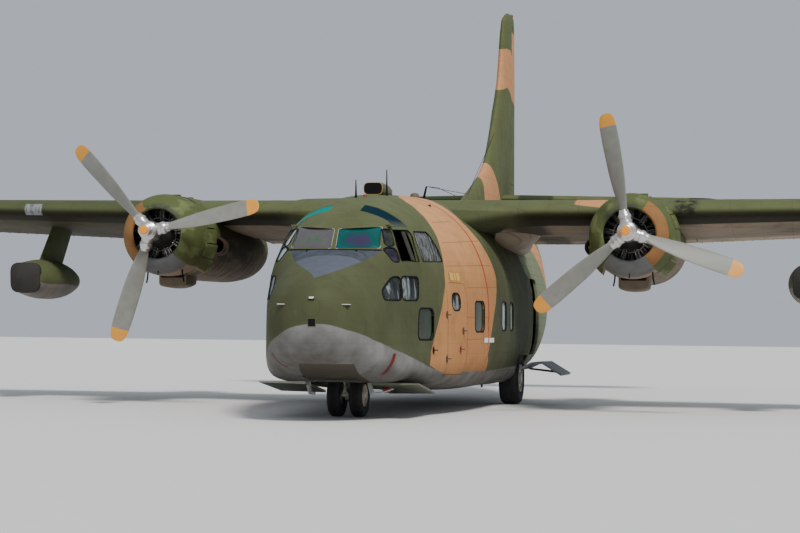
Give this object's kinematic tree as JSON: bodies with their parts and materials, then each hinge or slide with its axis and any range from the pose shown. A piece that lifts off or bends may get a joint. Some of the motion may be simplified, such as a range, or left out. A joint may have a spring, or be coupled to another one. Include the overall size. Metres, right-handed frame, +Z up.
{
  "type": "twin-propeller military transport plane",
  "caption": "High-wing military transport plane with piston propellers, underwing jet pods, a rear loading ramp and nose-wheel steering.",
  "frame": {"origin": "on the ground under the middle of the bounding box", "axes": "+Z up, nose towards -Y, port wing towards +X"},
  "size_m": [33.53, 23.24, 10.39],
  "materials": {
    "camouflage_skin": "satin",
    "belly_skin": "satin",
    "wing_skin": "satin",
    "control_fabric": "satin",
    "glazing": "gloss",
    "floor_deck": "matte",
    "cabin_trim": "matte",
    "gear_metal": "satin",
    "tyre_rubber": "matte",
    "door_paint": "satin",
    "engine_block": "matte",
    "blade_metal": "satin"
  },
  "bodies": {
    "airframe": {"fuselage_nose": "camouflage_skin", "fuselage_centre": "camouflage_skin", "fuselage_aft": "camouflage_skin", "tail_cone": "camouflage_skin", "nacelle_port": "camouflage_skin", "nacelle_starboard": "camouflage_skin", "cowl_port": "camouflage_skin", "cowl_starboard": "camouflage_skin", "pod_port": "camouflage_skin", "pod_starboard": "camouflage_skin", "pylon_port": "camouflage_skin", "pylon_starboard": "camouflage_skin", "fin": "camouflage_skin", "roof_scoop": "camouflage_skin", "wing_centre": "wing_skin", "wing_outer_port": "wing_skin", "wing_outer_starboard": "wing_skin", "tailplane": "wing_skin", "cockpit_glazing": "glazing", "cargo_floor": "floor_deck", "flight_deck": "floor_deck", "instrument_panel": "cabin_trim", "seat_port": "cabin_trim", "seat_starboard": "cabin_trim", "nose_leg": "gear_metal", "main_leg_port": "gear_metal", "main_leg_starboard": "gear_metal", "nose_door_front": "door_paint", "nose_door_port": "door_paint", "nose_door_starboard": "door_paint", "main_gear_door_port": "door_paint", "main_gear_door_starboard": "door_paint", "engine_port": "engine_block", "engine_starboard": "engine_block"},
    "crew_door": {"crew_door": "camouflage_skin"},
    "side_door_port": {"side_door_port": "camouflage_skin"},
    "side_door_starboard": {"side_door_starboard": "camouflage_skin"},
    "cargo_ramp": {"cargo_ramp": "camouflage_skin"},
    "cargo_door": {"cargo_door": "camouflage_skin"},
    "nose_steering": {"nose_fork": "gear_metal"},
    "nose_wheels": {"nose_wheels": "blade_metal", "nose_tyre_port": "tyre_rubber", "nose_tyre_starboard": "tyre_rubber"},
    "main_wheel_port": {"main_wheel_port": "blade_metal", "main_tyre_port": "tyre_rubber"},
    "main_wheel_starboard": {"main_wheel_starboard": "blade_metal", "main_tyre_starboard": "tyre_rubber"},
    "propeller_port": {"propeller_port": "blade_metal"},
    "propeller_starboard": {"propeller_starboard": "blade_metal"},
    "rudder": {"rudder": "control_fabric"},
    "elevator_port": {"elevator_port": "control_fabric"},
    "elevator_starboard": {"elevator_starboard": "control_fabric"},
    "aileron_port": {"aileron_port": "control_fabric"},
    "aileron_starboard": {"aileron_starboard": "control_fabric"},
    "flap_inner_port": {"flap_inner_port": "wing_skin"},
    "flap_inner_starboard": {"flap_inner_starboard": "wing_skin"},
    "flap_outer_port": {"flap_outer_port": "wing_skin"},
    "flap_outer_starboard": {"flap_outer_starboard": "wing_skin"}
  },
  "joints": [
    {"name": "propeller_port_spin", "type": "hinge", "parent": "airframe", "child": "propeller_port", "pos_m": [4.75, -5.79, 3.49], "axis": [0, 1, 0], "continuous": true},
    {"name": "main_wheel_port_spin", "type": "hinge", "parent": "airframe", "child": "main_wheel_port", "pos_m": [1.83, -0.85, 0.56], "axis": [1, 0, 0], "continuous": true},
    {"name": "propeller_starboard_spin", "type": "hinge", "parent": "airframe", "child": "propeller_starboard", "pos_m": [-4.75, -5.79, 3.49], "axis": [0, 1, 0], "continuous": true},
    {"name": "main_wheel_starboard_spin", "type": "hinge", "parent": "airframe", "child": "main_wheel_starboard", "pos_m": [-1.83, -0.85, 0.56], "axis": [1, 0, 0], "continuous": true},
    {"name": "nose_steering_turn", "type": "hinge", "parent": "airframe", "child": "nose_steering", "pos_m": [0, -8.57, 0.6], "axis": [0, 0, 1], "range_deg": [-60, 60]},
    {"name": "nose_wheels_spin", "type": "hinge", "parent": "nose_steering", "child": "nose_wheels", "pos_m": [0, -8.57, 0.392], "axis": [1, 0, 0], "continuous": true},
    {"name": "crew_door_drop", "type": "hinge", "parent": "airframe", "child": "crew_door", "pos_m": [1.765, -7.32, 0.768], "axis": [0, 1, 0], "range_deg": [0, 110]},
    {"name": "side_door_port_slide", "type": "slide", "parent": "airframe", "child": "side_door_port", "axis": [0, 1, 0], "range_m": [-1.06, 0]},
    {"name": "side_door_starboard_slide", "type": "slide", "parent": "airframe", "child": "side_door_starboard", "axis": [0, 1, 0], "range_m": [0, 1.06]},
    {"name": "cargo_ramp_drop", "type": "hinge", "parent": "airframe", "child": "cargo_ramp", "pos_m": [0, 3.292, 0.738], "axis": [-1, 0, 0], "range_deg": [0, 34]},
    {"name": "cargo_door_lift", "type": "hinge", "parent": "airframe", "child": "cargo_door", "pos_m": [0, 8.968, 3.65], "axis": [-1, 0, 0], "range_deg": [0, 24]},
    {"name": "rudder_turn", "type": "hinge", "parent": "airframe", "child": "rudder", "pos_m": [0, 10.33, 7.8], "axis": [0, 0, 1], "range_deg": [-22, 22]},
    {"name": "elevator_port_turn", "type": "hinge", "parent": "airframe", "child": "elevator_port", "pos_m": [2.9475, 10.4075, 5.0861], "axis": [-1, 0.0049, 0.0047], "range_deg": [-25, 15]},
    {"name": "elevator_starboard_turn", "type": "hinge", "parent": "airframe", "child": "elevator_starboard", "pos_m": [-2.9475, 10.4075, 5.0861], "axis": [-1, -0.0049, -0.0047], "range_deg": [-25, 15]},
    {"name": "aileron_port_turn", "type": "hinge", "parent": "airframe", "child": "aileron_port", "pos_m": [13.235, -1.4568, 4.0212], "axis": [-0.9981, 0.0548, -0.0288], "range_deg": [-20, 20]},
    {"name": "aileron_starboard_turn", "type": "hinge", "parent": "airframe", "child": "aileron_starboard", "pos_m": [-13.235, -1.4568, 4.0212], "axis": [-0.9981, -0.0548, 0.0288], "range_deg": [-20, 20]},
    {"name": "flap_inner_port_turn", "type": "hinge", "parent": "airframe", "child": "flap_inner_port", "pos_m": [3.02, -0.9905, 3.565], "axis": [-1, 0, 0], "range_deg": [0, 40]},
    {"name": "flap_inner_starboard_turn", "type": "hinge", "parent": "airframe", "child": "flap_inner_starboard", "pos_m": [-3.02, -0.9905, 3.565], "axis": [-1, 0, 0], "range_deg": [0, 40]},
    {"name": "flap_outer_port_turn", "type": "hinge", "parent": "airframe", "child": "flap_outer_port", "pos_m": [8.015, -1.1699, 3.6888], "axis": [-0.9978, 0.0548, -0.0378], "range_deg": [0, 40]},
    {"name": "flap_outer_starboard_turn", "type": "hinge", "parent": "airframe", "child": "flap_outer_starboard", "pos_m": [-8.015, -1.1699, 3.6888], "axis": [-0.9978, -0.0548, 0.0378], "range_deg": [0, 40]}
  ]
}
